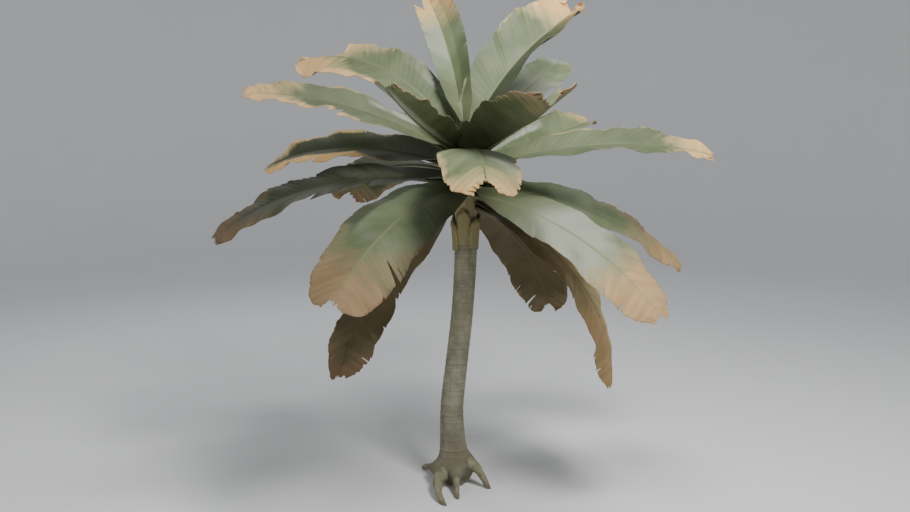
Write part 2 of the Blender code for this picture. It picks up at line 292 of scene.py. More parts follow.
RING_REACH = 0.05
GROOVE_BELOW = 0.012
GROOVE_WIDTH = 0.005
CRACK_DEPTH = 0.0008
CRACK_WIDTH = 0.16
BARK_SWELL = 0.0022
BARK_RUFFLE = 0.0012
SHEATH_FOOT = 2.1
SHEATHS_PER_METRE = 7.5
SHEATH_STARTS = 2.0
SHEATH_STEP = 0.006
SHEATH_RUN_IN = 0.05
HEART_SHADE_FOOT = 2.42
END_CAP_SHARE = 0.008
TRUNK_ROWS = 620
TRUNK_SIDES = 112
FULL_TURN = 2 * math.pi
PHASE_END = 6.28
RING_SEED = 4

BARK_DARK = (0.185, 0.174, 0.112)
BARK_PALE = (0.3, 0.28, 0.195)
BARK_STREAK = (0.14, 0.126, 0.08)
LICHEN_GREY = (0.36, 0.37, 0.3)
SOIL_BROWN = (0.17, 0.14, 0.085)
BARE_PATCH_AT = (0.03, -0.12, 0.27)
BARE_PATCH = (0.21, 0.15, 0.098)
LIVE_SHEATH_DARK = (0.27, 0.235, 0.115)
LIVE_SHEATH_PALE = (0.43, 0.375, 0.19)
HEART_SHADE = (0.05, 0.056, 0.026)
RING_PALE = (0.33, 0.32, 0.25)
RING_DARK = (0.1, 0.09, 0.06)
LOW_STEM_SHADE_DIM = 0.6
MOTTLE_SCALE = 7.0
STREAK_SCALE = (34.0, 34.0, 3.0)
GRIT_SCALE = 160.0
LICHEN_SCALE = 23.0
BARK_BUMP = 0.003

# Each root: its spring and tip directions, reach, shoulder height, thickness and sideways bow.
Root = namedtuple("Root", "name spring_turn tip_turn reach rise thickness bow")
ROOTS = (
    Root("root_front_left", 205, 259, 0.45, 0.11, 0.028, 0.55),
    Root("root_front", 272, 273, 0.33, 0.09, 0.019, 0.2),
    Root("root_right", 350, 334, 0.285, 0.17, 0.028, 0.1),
    Root("root_back_right", 55, 64, 0.26, 0.13, 0.026, 0.3),
    Root("root_back", 98, 100, 0.30, 0.11, 0.024, 0.3),
    Root("root_left", 168, 130, 0.40, 0.08, 0.02, 0.3),
)


def lean(height):
    return smooth_table(TRUNK_LEAN, height)


def trunk_radius(height):
    return smooth_table(TRUNK_RADIUS, height)


def hump(distance, width):
    """1 at no distance, falling smoothly to 0 around the width."""
    return math.exp(-((distance / width) ** 2))


def ramp(at, start, width):
    """0 up to the start, rising straight to 1 over the width."""
    return min(1.0, max(0.0, (at - start) / width))


def closed_ends(share, part):
    """1 along a tube, falling to 0 over a small part of its length at both ends."""
    return min(1.0, share / part) * min(1.0, (1.0 - share) / part)


def turned_from(angle, other):
    """The shortest way round from one direction to another, in radians."""
    return (angle - other + math.pi) % FULL_TURN - math.pi


# The ring scars: each one's height, phase, tilt and strength.  The knobs are the buds of new
# roots: each one's direction, height and size.
chance = random.Random(RING_SEED)
rings = []
ring_height = FLARE_TOP - 0.06
while ring_height < SHEATH_FOOT:
    phase = chance.uniform(0.0, PHASE_END)
    rings.append((ring_height, phase, chance.uniform(0.001, 0.006), chance.uniform(0.6, 1.25)))
    ring_height += chance.uniform(0.045, 0.09)
knobs = [
    (chance.uniform(0.0, PHASE_END), chance.uniform(0.05, 0.26), chance.uniform(0.006, 0.012))
    for _ in range(KNOB_COUNT)
]


def ring_relief(height, angle):
    """How far the bark stands out at the ring scars, and how pale or dark it is there."""
    rise, tone = 0.0, 0.0
    for centre, phase, tilt, strength in rings:
        away = height - centre
        if abs(away) > RING_REACH:
            continue
        away -= tilt * math.sin(angle + phase) + RING_WAVE * math.sin(5 * angle + 3 * phase)
        groove = hump(away + GROOVE_BELOW, GROOVE_WIDTH)
        rise += strength * RING_RISE * (hump(away, RING_WIDTH) - 0.75 * groove)
        tone += strength * (0.5 * hump(away - 0.002, 0.007) - 0.8 * groove)
    return rise, tone


def foot_relief(height, angle):
    """A low shoulder over each prop root, the buds of new ones, and an arch between two."""
    rise, near = 0.0, 0.0
    for root in ROOTS:
        off = turned_from(angle, math.radians(root.spring_turn))
        near = max(near, hump(off, ARCH_CLEAR))
        above = height - root.rise - 0.012
        rise += SHOULDER_RISE * hump(off, SHOULDER_SPREAD) * hump(above, SHOULDER_HEIGHT)
    for turn, place, size in knobs:
        off = turned_from(angle, turn) * FLARE_RADIUS
        rise += 0.7 * size * hump(math.hypot(off, height - place), size)
    return rise - ARCH_DEPTH * (1.0 - near) * max(0.0, 1.0 - height / ARCH_TOP) ** 0.7


def sheath_relief(height, angle):
    """Overlapping sheaths of the living fronds, each edge running up and round the stem."""
    turn = (height - SHEATH_FOOT) * SHEATHS_PER_METRE + angle / FULL_TURN * SHEATH_STARTS
    along = turn % 1.0
    return SHEATH_STEP * (1.0 - along), -0.9 * hump(along, 0.1)


def trunk_place(share, angle):
    """The stem's surface: cracked and ringed bark, with the sheaths above and the flare below."""
    height = ramp(share, END_CAP_SHARE, 1.0 - 2 * END_CAP_SHARE) * TRUNK_TIP
    radius = trunk_radius(height)
    crack_at = Vector((math.cos(angle) * 5.5, math.sin(angle) * 5.5, height * 2.2))
    ruffle_at = Vector((math.cos(angle) * 9, math.sin(angle) * 9, height * 60))
    crack = max(0.0, CRACK_WIDTH - abs(noise.noise(crack_at * 2.2)))
    relief = BARK_SWELL * noise.noise(crack_at * 0.6) - CRACK_DEPTH * crack / CRACK_WIDTH
    relief += BARK_RUFFLE * noise.noise(ruffle_at)
    tone = -0.08 * crack / CRACK_WIDTH
    if height < SHEATH_FOOT:
        rise, ring_tone = ring_relief(height, angle)
        relief += rise
        tone += ring_tone
    else:
        rise, edge_tone = sheath_relief(height, angle)
        relief += rise * ramp(height, SHEATH_FOOT, SHEATH_RUN_IN)
        tone += edge_tone
    if height < FOOT_TOP:
        relief += foot_relief(height, angle) * ramp(height, 0.0, 0.03)
    flare = max(0.0, 1.0 - height / FLARE_TOP)
    wave = math.cos(FLARE_LOBES * angle - FLARE_LOBE_PHASE)
    radius = (radius + relief) * (1.0 + FLARE_LOBE_DEPTH * math.sqrt(flare) * wave)
    radius *= closed_ends(share, END_CAP_SHARE)
    return Vector((math.cos(angle) * radius + lean(height), math.sin(angle) * radius, height)), tone


trunk = rolled_sheet("trunk_bark", TRUNK_ROWS, TRUNK_SIDES, trunk_place)
bark = Finish("ringed_grey_green_bark", 0.82)
bark_at = bark.places()
height_up = bark.axis(bark_at, 2)
bark_mottle = bark.grain(bark_at, MOTTLE_SCALE, 5.0)
bark_streak = bark.grain(bark.stretched(bark_at, STREAK_SCALE), 1.0, 4.0)
bark_grit = bark.grain(bark_at, GRIT_SCALE, 2.0)
bark_tone = bark.own_tone()
bark_colour = bark.mixed(bark_mottle.ease(0.35, 0.68), BARK_DARK, BARK_PALE)
bark_colour = bark.mixed(bark_streak.ease(0.45, 0.72) * 0.4, bark_colour, BARK_STREAK)
lichen = bark.grain(bark_at, LICHEN_SCALE).ease(0.61, 0.66)
bark_colour = bark.mixed(lichen * 0.25, bark_colour, LICHEN_GREY)
foot_soil = (1.0 - height_up.ease(0.02, 0.34)) * bark_mottle.ease(0.3, 0.6)
bark_colour = bark.mixed(foot_soil * 0.6, bark_colour, SOIL_BROWN)
patch_ends = {0: bark_at, 1: BARE_PATCH_AT}
from_patch = bark.node("ShaderNodeVectorMath", {"operation": "DISTANCE"}, patch_ends, "Value")
bare = (1.0 - (from_patch + bark_mottle * 0.05).ease(0.05, 0.15)) * 0.55
bark_colour = bark.mixed(bare, bark_colour, BARE_PATCH)
# Painted shade: the bark is darkened towards the foot of the stem.
bark_colour = bark.dimmed((1.0 - height_up.ease(0.1, 1.6)) * 0.65, bark_colour, LOW_STEM_SHADE_DIM)
sheathed = (height_up + bark_mottle * 0.12).ease(SHEATH_FOOT - 0.02, SHEATH_FOOT + 0.16)
sheath_colour = bark.mixed(bark_streak.ease(0.35, 0.7), LIVE_SHEATH_DARK, LIVE_SHEATH_PALE)
# Painted shade: the sheaths are darkened nearly to black inside the crown's heart, where the crown shades
# them.
in_heart_shade = height_up.ease(HEART_SHADE_FOOT, HEART_SHADE_FOOT + 0.16)
sheath_colour = bark.mixed(in_heart_shade, sheath_colour, HEART_SHADE)
bark_colour = bark.mixed(sheathed, bark_colour, sheath_colour)
bark_colour = bark.mixed(bark_tone.ease(0.1, 0.9) * 0.3, bark_colour, RING_PALE)
bark_colour = bark.mixed((0.0 - bark_tone).ease(0.1, 0.9) * 0.28, bark_colour, RING_DARK)
bark_height = bark_streak * 0.6 + bark_grit * 0.4
bark_roughness = 0.72 + bark_mottle * 0.22
trunk.data.materials.append(bark.finished(bark_colour, bark_height, BARK_BUMP, bark_roughness))
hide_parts("trunk")
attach(trunk, "root")

# ---------------------------------------------------------------- prop roots
# Short stilt roots of the same wood with a rough grey-brown rind.  Each springs from the flare,
# arches over a low shoulder and goes straight into the ground, where it is cut level.
ROOT_ROWS = 90
ROOT_SIDES = 28
ROOT_START = 0.07
ROOT_END = 1.08
ROOT_CAP_SHARE = 0.02
KNUCKLES = 13.0
KNUCKLE_WIDTH = 0.12
KNUCKLE_DEPTH = 0.0011
RIND_SWELL = 0.006
RIND_RUFFLE = 0.0016

RIND_DARK = (0.165, 0.152, 0.092)
RIND_PALE = (0.275, 0.258, 0.165)
RIND_SOIL = (0.13, 0.105, 0.065)
RIND_GROOVE = (0.1, 0.085, 0.06)
RIND_MOTTLE_SCALE = 16.0
RIND_GRIT_SCALE = 190.0
RIND_BUMP = 0.003

root_rind = Finish("rough_root_rind", 0.88)
rind_at = root_rind.places()
rind_mottle = root_rind.grain(rind_at, RIND_MOTTLE_SCALE, 5.0)
rind_grit = root_rind.grain(rind_at, RIND_GRIT_SCALE)
rind_up = root_rind.axis(rind_at, 2)
rind_colour = root_rind.mixed(rind_mottle.ease(0.35, 0.65), RIND_DARK, RIND_PALE)
rind_colour = root_rind.mixed((1.0 - rind_up.ease(0.0, 0.07)) * 0.5, rind_colour, RIND_SOIL)
in_groove = (0.0 - root_rind.own_tone()).ease(0.2, 0.9)
rind_colour = root_rind.mixed(in_groove * 0.3, rind_colour, RIND_GROOVE)
rind_height = rind_grit * 0.5 + rind_mottle * 0.5
rind_finish = root_rind.finished(rind_colour, rind_height, RIND_BUMP)


def compass(degrees):
    """Straight out from the stem's foot, turned that far round from the X axis."""
    angle = math.radians(degrees)
    return Vector((math.cos(angle), math.sin(angle), 0.0))


def root_path(root, share):
    """Out of the flare, over a low shoulder, and down past the ground at the root's reach."""
    foot = compass(root.spring_turn) * ROOT_START
    tip = compass(root.tip_turn) * root.reach
    way = ROOT_END * share
    shoulder = compass(root.spring_turn) * (root.bow * root.reach * way * (1.0 - way))
    height = root.rise * (1.0 + 0.45 * way - 1.45 * way ** 1.8)
    return foot.lerp(tip, way) + shoulder + Vector((0.0, 0.0, height))


def grow_root(root):
    """A knuckled tube along the root's path, cut level at the ground."""
    seed = Vector((root.spring_turn * 0.37, root.reach * 9.0, 0.0))

    def place(share, angle):
        middle = root_path(root, share)
        before = root_path(root, max(share - 0.01, 0.0))
        ahead = (root_path(root, min(share + 0.01, 1.0)) - before).normalized()
        side = ahead.cross(Vector((0, 0, 1))).normalized()
        up = side.cross(ahead)
        radius = root.thickness * (1.3 - 0.55 * share + 1.0 * hump(share, 0.38))
        ring = (share * KNUCKLES + 0.12 * math.sin(angle + root.reach * 40)) % 1.0
        groove = hump(ring - 0.5, KNUCKLE_WIDTH)
        radius -= KNUCKLE_DEPTH * groove
        around = Vector((math.cos(angle) * 1.6, math.sin(angle) * 1.6, share * 9.0))
        ruffle = RIND_RUFFLE * noise.noise(around * 4.0 + seed)
        radius += RIND_SWELL * noise.noise(around + seed) + ruffle
        radius *= closed_ends(share, ROOT_CAP_SHARE)
        return middle + (side * math.cos(angle) + up * math.sin(angle)) * radius, -groove

    piece = rolled_sheet(root.name + "_rind", ROOT_ROWS, ROOT_SIDES, place)
    bpy.ops.object.mode_set(mode="EDIT")
    bpy.ops.mesh.select_all(action="SELECT")
    bpy.ops.mesh.bisect(
        plane_co=(0, 0, 0), plane_no=(0, 0, 1), clear_inner=True, use_fill=True, threshold=0.00001
    )
    bpy.ops.object.mode_set(mode="OBJECT")
    piece.data.materials.append(rind_finish)
    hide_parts(root.name)
    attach(piece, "root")


for root in ROOTS:
    grow_root(root)

# ---------------------------------------------------------------- old leaf bases
# The dry feet of fallen fronds, brown fibrous sheaths that still clasp the stem under the
# crown.  Each is a curved plate that leans out towards its cut top, where its fibres fray.
BASE_COUNT = 6
BASE_FOOT = 1.85
BASE_HEIGHT = 0.28
BASE_THICKNESS = 0.016
BASE_SPREAD = 0.009
BASE_OVERLAP_DEG = 9.0
BASE_STEP_OUT = 0.006
BASE_WALL = 0.012
BASE_COLUMNS = 60
BASE_ROWS = 44
BASE_FIRST_DEG = 17.0
BASE_SEED = 40
FRAY_LENGTH = 0.04
FRAY_FROM = 0.8
BASE_RIDGE = 0.0022
SMOOTH_EDGE_DEG = 50

HUSK_DARK = (0.185, 0.153, 0.07)
HUSK_PALE = (0.385, 0.33, 0.16)
HUSK_PATCH = (0.27, 0.26, 0.135)
HUSK_TOP = (0.17, 0.13, 0.065)
FIBRE_SCALE = (70.0, 4.0, 1.0)
HUSK_PATCH_SCALE = 11.0
HUSK_BUMP = 0.003

husk = Finish("dry_fibrous_sheath", 0.92)
husk_uv = husk.node("ShaderNodeUVMap", {"uv_map": "UVMap"}, {})
husk_fibre = husk.grain(husk.stretched(husk_uv, FIBRE_SCALE), 1.0, 4.0)
husk_patch = husk.grain(husk.places(), HUSK_PATCH_SCALE, 4.0)
husk_up = husk.axis(husk_uv, 1)
husk_colour = husk.mixed(husk_fibre.ease(0.3, 0.7), HUSK_DARK, HUSK_PALE)
husk_colour = husk.mixed(husk_patch.ease(0.5, 0.7) * 0.6, husk_colour, HUSK_PATCH)
husk_colour = husk.mixed(husk_up.ease(0.7, 1.0) * 0.3, husk_colour, HUSK_TOP)
husk_finish = husk.finished(husk_colour, husk_fibre, HUSK_BUMP)


def grow_leaf_base(number):
    """A plate curved round the stem, which narrows and leans out towards its frayed top."""
    chance = random.Random(BASE_SEED + number)
    span = 360.0 / BASE_COUNT + BASE_OVERLAP_DEG
    middle = 360.0 * number / BASE_COUNT + BASE_FIRST_DEG
    foot = BASE_FOOT + 0.022 * ((number * 2) % 3)
    top = foot + BASE_HEIGHT - 0.05 * (number % 2)
    frays = [chance.uniform(0.0, FRAY_LENGTH) for _ in range(BASE_COLUMNS + 1)]
    bpy.ops.object.select_all(action="DESELECT")
    bpy.ops.mesh.primitive_grid_add(
        x_subdivisions=BASE_COLUMNS, y_subdivisions=BASE_ROWS, size=2.0
    )
    plate = bpy.context.object
    plate.name = plate.data.name = f"leaf_base_{number + 1}_sheath"
    for vertex in plate.data.vertices:
        across, up = vertex.co.x, (vertex.co.y + 1.0) / 2.0
        column = round((across + 1.0) * BASE_COLUMNS / 2)
        fray = frays[column] * max(0.0, up - FRAY_FROM) / (1.0 - FRAY_FROM)
        height = foot + (top - foot) * up * (1.0 - 0.16 * up * across * across) - fray
        height += 0.012 * across * across * (1.0 - up)
        angle = middle + across * span / 2.0 * (1.0 - 0.16 * up ** 2)
        ridge = BASE_RIDGE * noise.noise(Vector((across * 14.0, up * 1.6, number * 5.0)))
        radius = trunk_radius(height) + BASE_THICKNESS * (0.75 + 0.5 * up)
        radius = radius + BASE_SPREAD * up ** 2 + ridge
        radius += BASE_STEP_OUT * (number % 2) - 0.005 * across ** 4
        vertex.co = compass(angle) * radius + Vector((lean(height), 0.0, height))
    wall = plate.modifiers.new("wall", "SOLIDIFY")
    wall.thickness = BASE_WALL
    wall.offset = -1.0
    bpy.ops.object.modifier_apply(modifier="wall")
    bpy.ops.object.shade_smooth_by_angle(angle=math.radians(SMOOTH_EDGE_DEG))
    plate.data.materials.append(husk_finish)
    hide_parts(f"leaf_base_{number + 1}")
    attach(plate, "root")


for number in range(BASE_COUNT):
    grow_leaf_base(number)

# ---------------------------------------------------------------- fronds
# Broad undivided blades of tough dusty leaf, finely veined, on a stout pale midrib whose foot
# widens to clasp the stem.  Wind has torn and worn their margins, and each dries to tan from the
# tip and margins inwards.
PLEATS = 36
STEPS_PER_PLEAT = 6
HALF_COLUMNS = 14
BLADE_WALL = 0.0026
PLEAT_DEPTH = 0.0007
TOOTH_DEPTH = 0.11
WAVE_DEPTH = 0.014
SAG_DEPTH = 0.028
FLAT_FOLD_DEG = 30.0
SWAY_DEG = 6.0
CLASP_FOLD_DEG = 25.0
CLASP_END = 0.14
OPEN_FROM = 0.12
OPENING = 0.1
ROLLED_BY = 0.2
BEND_POWER = 1.3
SUNK = 0.022
VEIN_ANGLE = 38
TIP_RAGGED = 0.05
SMALL_TEARS = 5
SMALL_TEAR_GAP = 0.004
TEAR_PULL = 0.6
TEAR_LIFT = 0.25
TEAR_LEAST_LIFT = 0.004
TEAR_PLEATS = 4.0
BLADE_SEED = 60
RIB_ROWS = 110
RIB_SIDES = 14
RIB_CAP_SHARE = 0.012
RIB_DROP = 0.45
RIB_CHANNEL = 0.5
BLADE_EDGE_DEG = 35
# Half the blade's width as a share of the widest, by share of the length.
BLADE_OUTLINE = (
    (0.0, 0.3), (0.05, 0.42), (0.1, 0.55), (0.18, 0.72), (0.28, 0.87), (0.42, 0.97),
    (0.58, 1.0), (0.75, 0.95), (0.88, 0.8), (0.96, 0.55), (1.0, 0.3),
)
# Half the width and half the depth of the stalk and midrib, by share of the length.
RIB_HALF_WIDTH = (
    (0.0, 0.056), (0.05, 0.046), (0.12, 0.03), (0.25, 0.014), (0.6, 0.007), (1.0, 0.0022),
)
RIB_HALF_DEPTH = (
    (0.0, 0.026), (0.05, 0.024), (0.12, 0.019), (0.25, 0.012), (0.6, 0.006), (1.0, 0.0018),
)

# turn to notch: as the frame's frond of that name grows.  turn: compass direction from +X towards
# +Y; rise and fall: slope at the foot and at the tip; roll: how far it turns about its rib; fold:
# how far its halves lift from flat at the foot, and at the tip; notch: share of the veins' slant
# kept at the tip.  dry_from: share of the length where the dry tip begins; margin: width of the
# dry margin; curl: how far the tip curls up or down, metres; dull: how far its green has
# gone from pale and dusty to a dark olive, with painted shade darkening it further;
# bloom: how much pale grey wax still lies on it, together with a painted sheen.
Frond = namedtuple(
    "Frond",
    "name turn height rise fall length width roll fold_foot fold_tip notch"
    " dry_from margin curl dull bloom",
)
FRONDS = (
    Frond("frond_young_1", 105, 2.76, 57, 23, 1.58, 0.37, -18, 36, 25, 1.0, 0.64, 0.03, 0.02, 0.05, 0.85),
    Frond("frond_young_2", 38, 2.71, 55, 23, 1.40, 0.60, 17, 33, 32, 0.6, 0.69, 0.04, 0.05, 0.22, 0.35),
    Frond("frond_young_3", 149, 2.65, 51, -15, 1.74, 0.50, -30, 28, -25, 0.5, 0.6, 0.12, 0.02, 0.38, 0.1),
    Frond("frond_young_4", 55, 2.62, 28, 24, 1.54, 0.42, 16, 20, 4, 0.4, 1.1, 0.0, -0.01, 0.05, 0.8),
    Frond("frond_middle_1", 187, 2.55, 32, -4, 1.66, 0.44, -24, 10, 5, 0.3, 0.72, 0.1, 0.02, 0.58, 0.1),
    Frond("frond_middle_2", -71, 2.49, 19, 11, 1.55, 0.62, 7, 38, 31, 0.8, 0.86, 0.04, 0.06, 0.05, 0.3),
    Frond("frond_middle_3", -112, 2.565, 14, 28, 1.40, 0.42, -17, 46, 18, 0.5, 1.0, 0.04, 0.01, 0.05, 0.3),
    Frond("frond_middle_4", 46, 2.43, 16, 11, 1.50, 0.42, 17, 19, 26, 0.6, 0.86, 0.02, -0.02, 0.05, 0.1),
    Frond("frond_middle_5", 84, 2.55, 25, -22, 1.75, 0.46, 0, 25, 0, 0.6, 0.85, 0.06, 0.02, 0.4, 0.1),
    Frond("frond_middle_6", -1, 2.47, 16, -13, 1.80, 0.46, 18, 16, 8, 0.3, 0.77, 0.06, -0.01, 0.42, 0.0),
    Frond("frond_middle_7", 162, 2.48, 15, -22, 1.66, 0.40, -30, 20, 2, 0.3, 0.8, 0.18, -0.03, 0.82, 0.1),
    Frond("frond_lower_1", -86, 2.44, 25, -26, 1.56, 0.54, -3, -5, -24, 1.0, 0.8, 0.12, -0.02, 0.22, 0.0),
    Frond("frond_lower_2", 126, 2.42, 8, -30, 1.75, 0.57, 14, 10, -15, 0.6, 0.8, 0.16, -0.03, 0.85, 0.1),
    Frond("frond_lower_3", 185, 2.37, 7, -38, 1.91, 0.45, -20, 18, -6, 0.3, 0.72, 0.04, 0.0, 1.05, 0.0),
    Frond("frond_lower_4", 14, 2.34, -6, -41, 1.89, 0.42, 28, 15, -9, 0.3, 0.6, 0.05, -0.01, 0.0, 0.5),
    Frond("frond_lower_5", -38, 2.29, -8, -47, 1.77, 0.52, 16, 11, -14, 0.3, 0.62, 0.07, 0.0, 0.14, 1.0),
    Frond("frond_lower_6", -120, 2.32, -2, -43, 1.75, 0.60, -16, 13, -24, 0.7, 0.62, 0.1, 0.02, 0.34, 0.4),
    Frond("frond_hanging_1", -11, 2.20, -21, -92, 1.83, 0.38, 17, 7, -22, 0.3, 0.45, 0.1, 0.0, 0.2, 0.0),
    Frond("frond_hanging_2", 58, 2.21, -20, -59, 1.73, 0.50, -16, 11, -20, 0.8, 0.9, 0.06, -0.02, 1.0, 0.0),
    Frond("frond_hanging_3", 146, 2.26, -39, -70, 2.05, 0.50, 20, 14, -24, 0.3, 0.75, 0.06, 0.0, 1.0, 0.0),
)
# In the tables below a side is 1 for the left half, seen along the rib, and -1 for the right.
# The large wind tears: share of the length, side, how deep, how wide at the margin in metres.
LARGE_TEARS = {
    "frond_young_3": ((0.45, 1, 0.3, 0.01),),
    "frond_middle_1": ((0.5, 1, 0.45, 0.03), (0.8, -1, 0.3, 0.01)),
    "frond_middle_7": ((0.62, 1, 0.3, 0.015),),
    "frond_lower_2": ((0.42, 1, 0.6, 0.03), (0.55, 1, 0.7, 0.035), (0.68, 1, 0.6, 0.03)),
    "frond_lower_3": ((0.5, 1, 0.35, 0.02), (0.3, 1, 0.4, 0.03)),
    "frond_lower_5": ((0.7, -1, 0.2, 0.01), (0.82, -1, 0.25, 0.012)),
    "frond_lower_6": ((0.66, 1, 0.5, 0.045),),
    "frond_hanging_2": ((0.88, 1, 0.5, 0.03), (0.7, -1, 0.35, 0.02)),
    "frond_hanging_3": ((0.6, 1, 0.35, 0.02), (0.85, -1, 0.3, 0.008)),
}
# The side whose margin has dried out most, and how much wider its dry band is.
DRY_SIDE = {
    "frond_young_3": (1, 0.3),
    "frond_middle_1": (1, 0.2),
    "frond_middle_7": (1, 0.5),
}
# How bright the dry parts are painted, as painted light and shade on them, where that doesn't follow from
# how dull and shaded the green is.
STRAW_LIGHT_AND_SHADE = {
    "frond_young_1": 1.1,
    "frond_young_2": 1.3,
    "frond_young_3": 1.05,
    "frond_middle_1": 0.85,
    "frond_middle_6": 1.1,
    "frond_middle_7": 1.3,
    "frond_lower_1": 1.0,
    "frond_lower_4": 0.65,
    "frond_lower_5": 0.75,
    "frond_lower_6": 0.42,
}
# A strip of painted light, a pale band that brightens part of the blade: its side, how far off the
# rib it begins (under 0 it crosses the rib), the share of the length where it ends, how strongly it
# is painted and how bright it is.
LIT_STRIP = {
    "frond_young_3": (-1, 0.5, 0.28, 0.75, 0.75),
    "frond_middle_1": (-1, 0.3, 0.3, 0.8, 1.0),
    "frond_middle_3": (-1, -0.32, 0.95, 0.85, 0.8),
    "frond_middle_4": (1, 0.42, 0.5, 1.0, 1.6),
    "frond_middle_7": (1, -1.3, 0.4, 0.5, 0.5),
    "frond_lower_1": (1, 0.02, 0.66, 0.75, 1.15),
    "frond_lower_2": (1, -1.3, 0.4, 0.5, 0.5),
    "frond_lower_3": (1, -1.3, 0.25, 0.4, 0.5),
}
# The one half on which the bloom and its sheen are painted, as painted light; the other half is left
# without them.
SHEEN_HALF = {"frond_young_1": 1}
# Painted shadow over part of a half: its side, how far off the rib that begins, the shares of the
# length between, and how dark the shadow is.
SHADOW_PATCH = {
    "frond_young_1": (-1, 0.35, 0.1, 0.9, 0.4),
    "frond_young_2": (-1, -0.04, 0.0, 0.85, 0.85),
    "frond_lower_6": (-1, 0.62, 0.05, 0.5, 0.9),
}
# How much less painted shade darkens the undersides of two fronds than the others'.
UNDER_SHADE_LIFT = {"frond_middle_2": 1.2, "frond_middle_3": 1.6}
# Painted shade at the foot of the blade, where the crown shades it: how dark it is, how far along
# the blade it reaches, and how much further than on the rib it reaches at the left margin.
USUAL_FOOT_SHADOW = (0.42, 0.24, 0.0)
FOOT_SHADOW = {
    "frond_young_1": (0.48, 0.38, 0.0),
    "frond_young_2": (0.5, 0.3, -0.06),
    "frond_middle_2": (0.65, 0.24, 0.0),
    "frond_middle_7": (0.3, 0.12, 0.0),
    "frond_lower_2": (0.3, 0.12, 0.0),
    "frond_lower_3": (0.4, 0.16, 0.0),
    "frond_lower_5": (0.6, 0.44, -0.06),
    "frond_lower_6": (0.72, 0.28, 0.24),
}
# Where a margin has worn away: its side, the shares of the length between, and the width kept.
WORN = {
    "frond_young_1": ((1, 0.76, 1.0, 0.5),),
    "frond_young_3": ((-1, 0.72, 1.0, 0.4),),
    "frond_middle_1": ((1, 0.52, 1.0, 0.75),),
    "frond_lower_2": ((1, 0.7, 0.85, 0.7),),
}

STRIP_LIGHT = (0.4, 0.43, 0.33)
STRAW_DARK = (0.495, 0.322, 0.162)
STRAW_PALE = (0.785, 0.543, 0.29)
DRYING_EDGE = (0.38, 0.36, 0.18)
BURNT_EDGE = (0.22, 0.14, 0.07)
FOOT_SHADE = (0.07, 0.075, 0.035)
VEIN_DIM = 0.62
SHADOW_DIM = 0.36
PATCH_SCALE = 3.2
BLOTCH_SCALE = 26.0
WAX_SCALE = 2.3
VEIN_SCALE = (260.0, 3.0, 1.0)
BAND_SCALE = (26.0, 1.2, 1.0)
VEIN_BUMP = 0.0011
# The dark, the pale and the midrib's tone of a green blade's upper side, each where the green is
# fresh and where it is dull and shaded; the same of a dead blade's; and those of the undersides,
# painted dark as painted shade.
GREEN_DARK = (0.148, 0.188, 0.088), (0.028, 0.034, 0.014)
GREEN_PALE = (0.242, 0.285, 0.155), (0.058, 0.066, 0.032)
GREEN_RIB = (0.235, 0.27, 0.13), (0.07, 0.078, 0.036)
DEAD_DARK = (0.155, 0.108, 0.047), (0.07, 0.05, 0.018)
DEAD_PALE = (0.245, 0.177, 0.084), (0.113, 0.083, 0.03)
DEAD_RIB = (0.11, 0.088, 0.043)
UNDER_GREEN_SHADED = (0.052, 0.066, 0.025), (0.094, 0.109, 0.048), (0.12, 0.132, 0.06)
UNDER_DEAD_SHADED = (0.068, 0.05, 0.017), (0.106, 0.078, 0.028), (0.105, 0.08, 0.038)
UNDER_GREEN_SHADED_STRAW = 0.5
UNDER_DEAD_SHADED_STRAW = 0.38


def toned(amount, colour):
    """A colour made brighter or darker."""
    return tuple(amount * part for part in colour)


def blended(amount, first, second):
    """A colour between two others."""
    return tuple(a + (b - a) * amount for a, b in zip(first, second))


def sunned(brightness, colour):
    """A straw tone, ruddier the brighter it is."""
    red, green, blue = colour
    green *= 1.04 - 0.09 * brightness
    blue *= 1.1 - 0.28 * brightness
    return toned(brightness, (red, green, blue))


def blade_tones(frond, dried):
    """The dark, pale, rib and straw tones of the blade's upper side, and those of its under one, which is
    painted darker as painted shade.
    """
    dull = frond.dull
    if dried:
        dark, pale = blended(dull, *DEAD_DARK), blended(dull, *DEAD_PALE)
        return (dark, pale, DEAD_RIB, 0.72 - 0.3 * dull), (*UNDER_DEAD_SHADED, UNDER_DEAD_SHADED_STRAW)
    dark, pale = blended(dull, *GREEN_DARK), blended(dull, *GREEN_PALE)
    straw = STRAW_LIGHT_AND_SHADE.get(frond.name, 1.0 - 0.72 * dull)
    paler = UNDER_SHADE_LIFT.get(frond.name, 1.0)
    under_dark, under_pale, under_rib = UNDER_GREEN_SHADED
    under_shaded = toned(paler, under_dark), toned(paler, under_pale), under_rib, UNDER_GREEN_SHADED_STRAW
    return (dark, pale, blended(dull, *GREEN_RIB), straw), under_shaded


